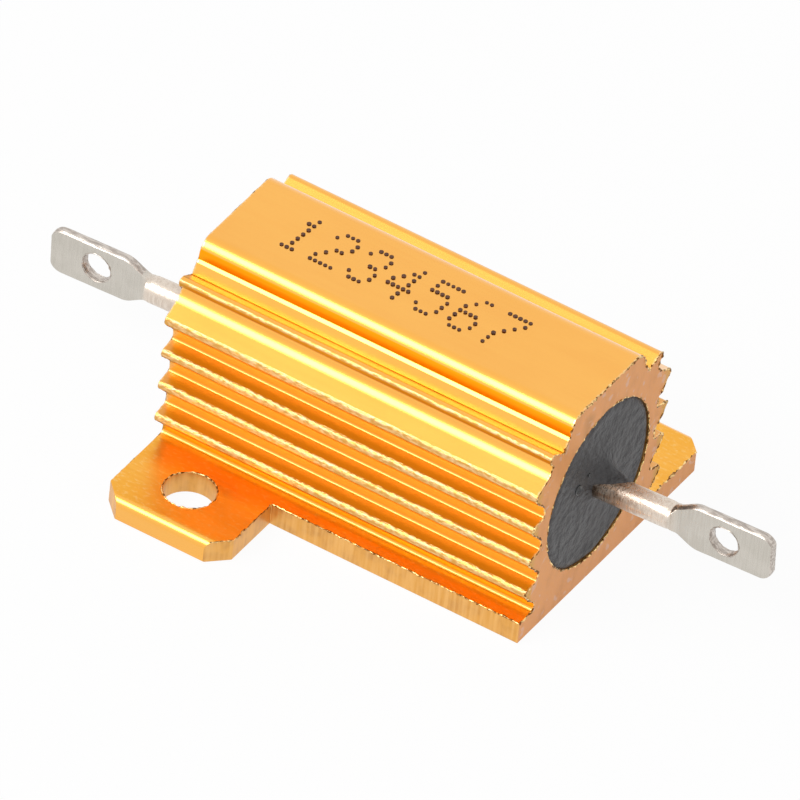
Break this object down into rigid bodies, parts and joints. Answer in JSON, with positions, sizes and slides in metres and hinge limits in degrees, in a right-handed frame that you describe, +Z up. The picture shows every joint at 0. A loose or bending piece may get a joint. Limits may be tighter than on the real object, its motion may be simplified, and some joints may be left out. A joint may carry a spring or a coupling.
{
  "type": "aluminium housed power resistor",
  "caption": "Wirewound power resistor potted in a finned gold-anodised aluminium extrusion with diagonal mounting tabs and flattened, pierced terminals.",
  "frame": {"origin": "under the middle of the housing, on its mounting face", "axes": "+X along the housing towards the right terminal, +Y across the fins, +Z up to the flat marked top"},
  "size_m": [0.0522, 0.0274, 0.0154],
  "materials": {
    "gold_aluminium": "gold anodised, satin, bare saw-cut ends",
    "black_moulding": "matt cast compound",
    "ceramic": "unglazed",
    "resistance_wire": "drawn",
    "cap_steel": "pressed",
    "tinned_metal": "satin tin"
  },
  "bodies": {
    "root": {"housing": "gold_aluminium", "moulding": "black_moulding", "core": "ceramic", "winding": "resistance_wire", "end_cap_left": "cap_steel", "end_cap_right": "cap_steel", "terminal_left": "tinned_metal", "terminal_right": "tinned_metal"}
  },
  "joints": []
}
